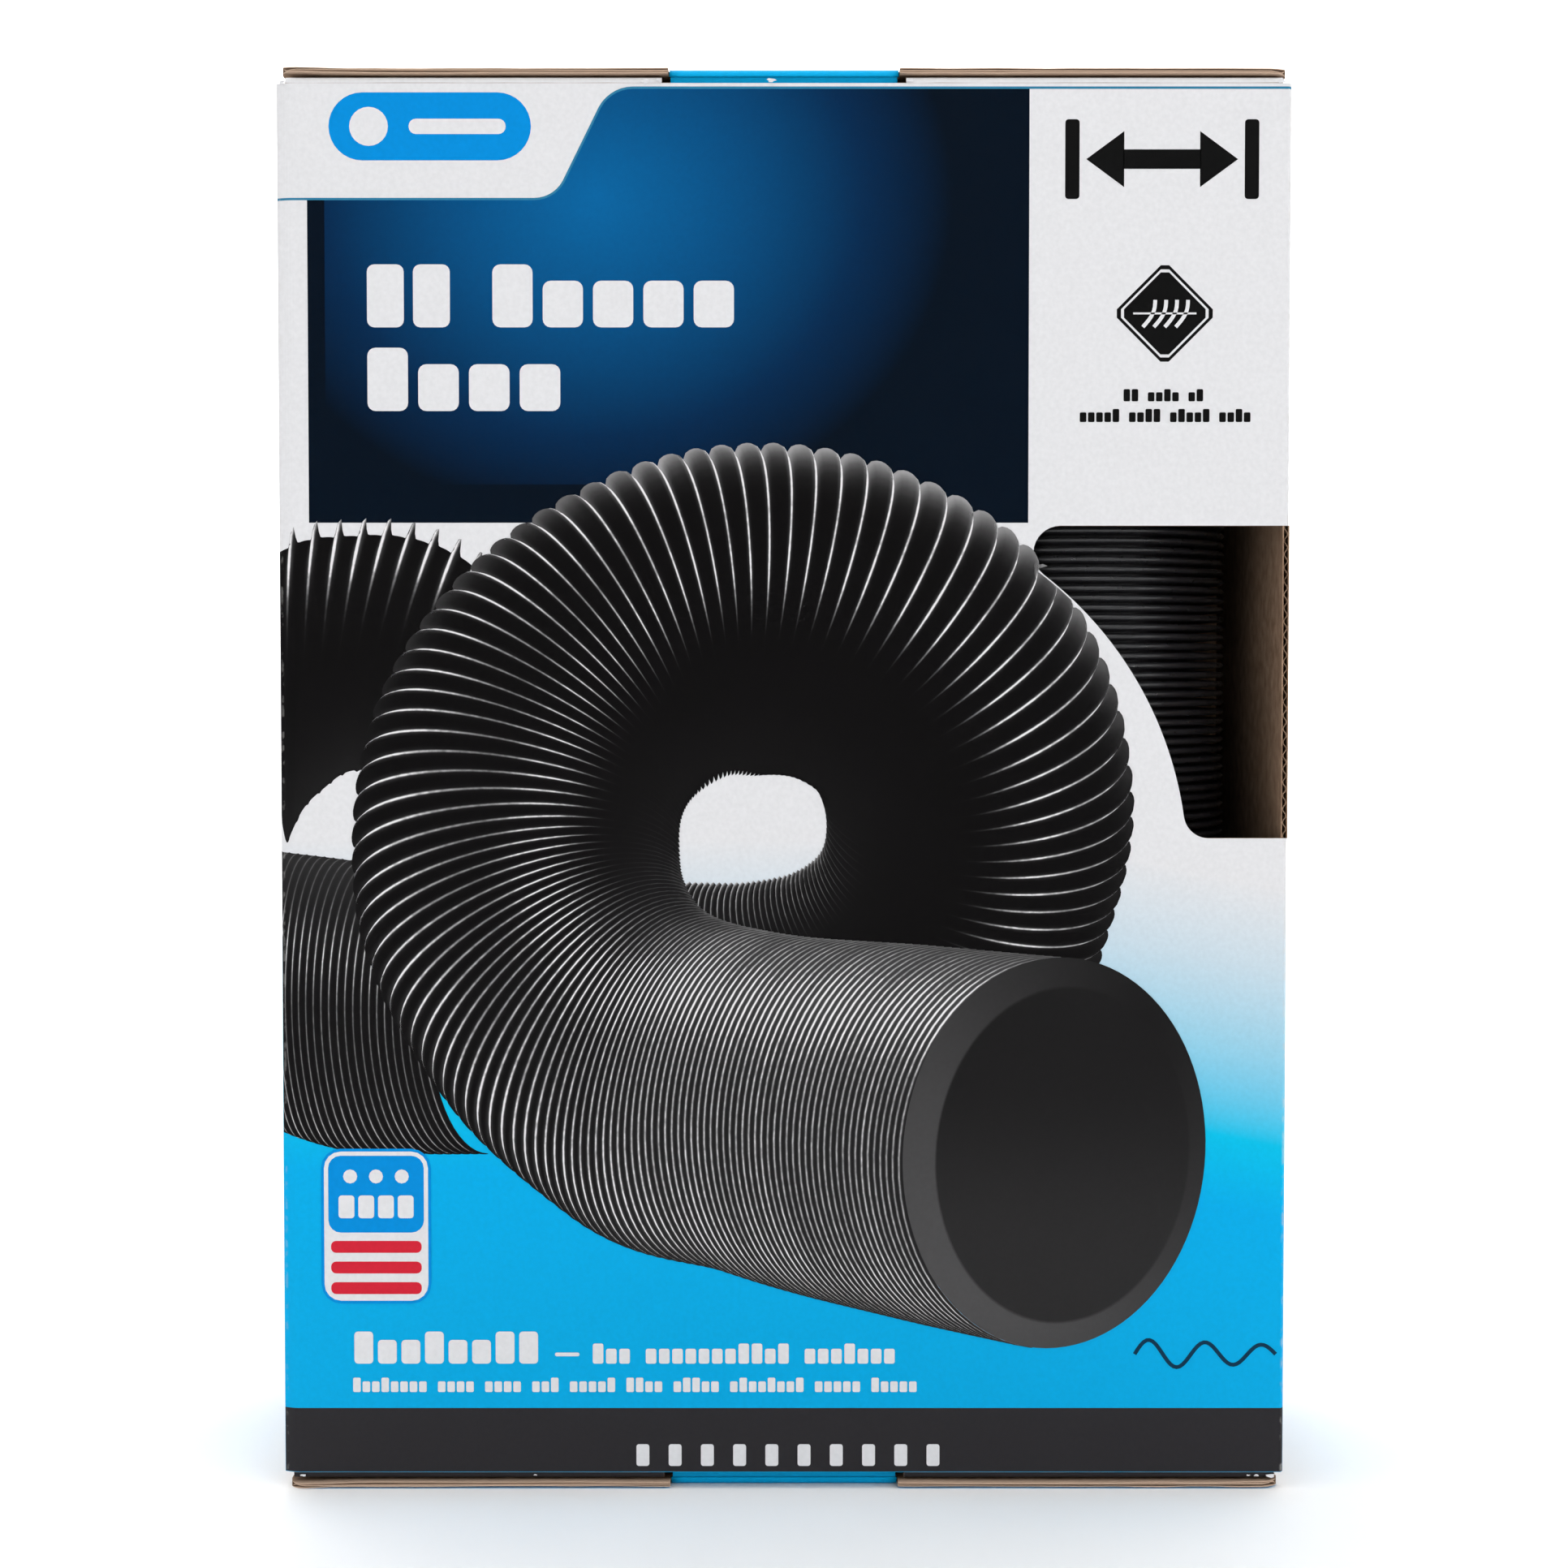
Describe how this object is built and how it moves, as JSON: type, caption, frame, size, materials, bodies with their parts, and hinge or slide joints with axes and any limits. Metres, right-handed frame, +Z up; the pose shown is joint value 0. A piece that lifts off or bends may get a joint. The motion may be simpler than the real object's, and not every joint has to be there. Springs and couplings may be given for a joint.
{
  "type": "boxed sewer hose",
  "caption": "Tuck-lock corrugated carton with opening flaps and a side window, holding a compressed wire-reinforced vinyl drain hose folded once into a U.",
  "frame": {"origin": "middle of the carton's footprint, on the surface it stands on", "axes": "+Z up; the printed front with the window looks along -Y; +X to the viewer's right"},
  "size_m": [0.241, 0.096, 0.34],
  "materials": {
    "printed_board": "litho-printed white top sheet with a satin varnish",
    "kraft_board": "unprinted kraft liner, matte",
    "hose_vinyl": "black flexible vinyl, satin",
    "coil_wire": "plain steel spring wire"
  },
  "bodies": {
    "carton": {"front_panel": "printed_board", "back_panel": "printed_board", "left_panel": "printed_board", "right_panel": "printed_board", "glue_flap": "kraft_board", "hose_vinyl": "hose_vinyl", "hose_wire": "coil_wire"},
    "top_lid": {"top_lid_flap": "printed_board"},
    "top_tab": {"top_tuck_tab": "printed_board"},
    "top_front": {"top_front_flap": "kraft_board"},
    "top_left_dust": {"top_left_dust_flap": "kraft_board"},
    "top_right_dust": {"top_right_dust_flap": "kraft_board"},
    "bottom_lid": {"bottom_lid_flap": "printed_board"},
    "bottom_tab": {"bottom_tuck_tab": "printed_board"},
    "bottom_front": {"bottom_front_flap": "kraft_board"},
    "bottom_left_dust": {"bottom_left_dust_flap": "kraft_board"},
    "bottom_right_dust": {"bottom_right_dust_flap": "kraft_board"}
  },
  "joints": [
    {"name": "top_lid_fold", "type": "hinge", "parent": "carton", "child": "top_lid", "pos_m": [0, 0.048, 0.3384], "axis": [-1, 0, 0], "range_deg": [0, 180]},
    {"name": "top_tab_fold", "type": "hinge", "parent": "top_lid", "child": "top_tab", "pos_m": [0, -0.0429, 0.3384], "axis": [-1, 0, 0], "range_deg": [0, 54]},
    {"name": "top_front_fold", "type": "hinge", "parent": "carton", "child": "top_front", "pos_m": [0, -0.048, 0.3362], "axis": [1, 0, 0], "range_deg": [0, 180]},
    {"name": "top_left_dust_fold", "type": "hinge", "parent": "carton", "child": "top_left_dust", "pos_m": [-0.1205, 0, 0.3342], "axis": [0, -1, 0], "range_deg": [0, 90]},
    {"name": "top_right_dust_fold", "type": "hinge", "parent": "carton", "child": "top_right_dust", "pos_m": [0.1205, 0, 0.3342], "axis": [0, 1, 0], "range_deg": [0, 90]},
    {"name": "bottom_lid_fold", "type": "hinge", "parent": "carton", "child": "bottom_lid", "pos_m": [0, 0.048, 0.0016], "axis": [1, 0, 0], "range_deg": [0, 180]},
    {"name": "bottom_tab_fold", "type": "hinge", "parent": "bottom_lid", "child": "bottom_tab", "pos_m": [0, -0.0429, 0.0016], "axis": [1, 0, 0], "range_deg": [0, 54]},
    {"name": "bottom_front_fold", "type": "hinge", "parent": "carton", "child": "bottom_front", "pos_m": [0, -0.048, 0.0038], "axis": [-1, 0, 0], "range_deg": [0, 180]},
    {"name": "bottom_left_dust_fold", "type": "hinge", "parent": "carton", "child": "bottom_left_dust", "pos_m": [-0.1205, 0, 0.0058], "axis": [0, 1, 0], "range_deg": [0, 90]},
    {"name": "bottom_right_dust_fold", "type": "hinge", "parent": "carton", "child": "bottom_right_dust", "pos_m": [0.1205, 0, 0.0058], "axis": [0, -1, 0], "range_deg": [0, 90]}
  ],
  "couplings": [
    {"joint": "top_tab_fold", "follows": "top_lid_fold", "ratio": 0.3},
    {"joint": "top_front_fold", "follows": "top_lid_fold", "ratio": 1},
    {"joint": "top_left_dust_fold", "follows": "top_lid_fold", "ratio": 0.5},
    {"joint": "top_right_dust_fold", "follows": "top_lid_fold", "ratio": 0.5},
    {"joint": "bottom_tab_fold", "follows": "bottom_lid_fold", "ratio": 0.3},
    {"joint": "bottom_front_fold", "follows": "bottom_lid_fold", "ratio": 1},
    {"joint": "bottom_left_dust_fold", "follows": "bottom_lid_fold", "ratio": 0.5},
    {"joint": "bottom_right_dust_fold", "follows": "bottom_lid_fold", "ratio": 0.5}
  ]
}
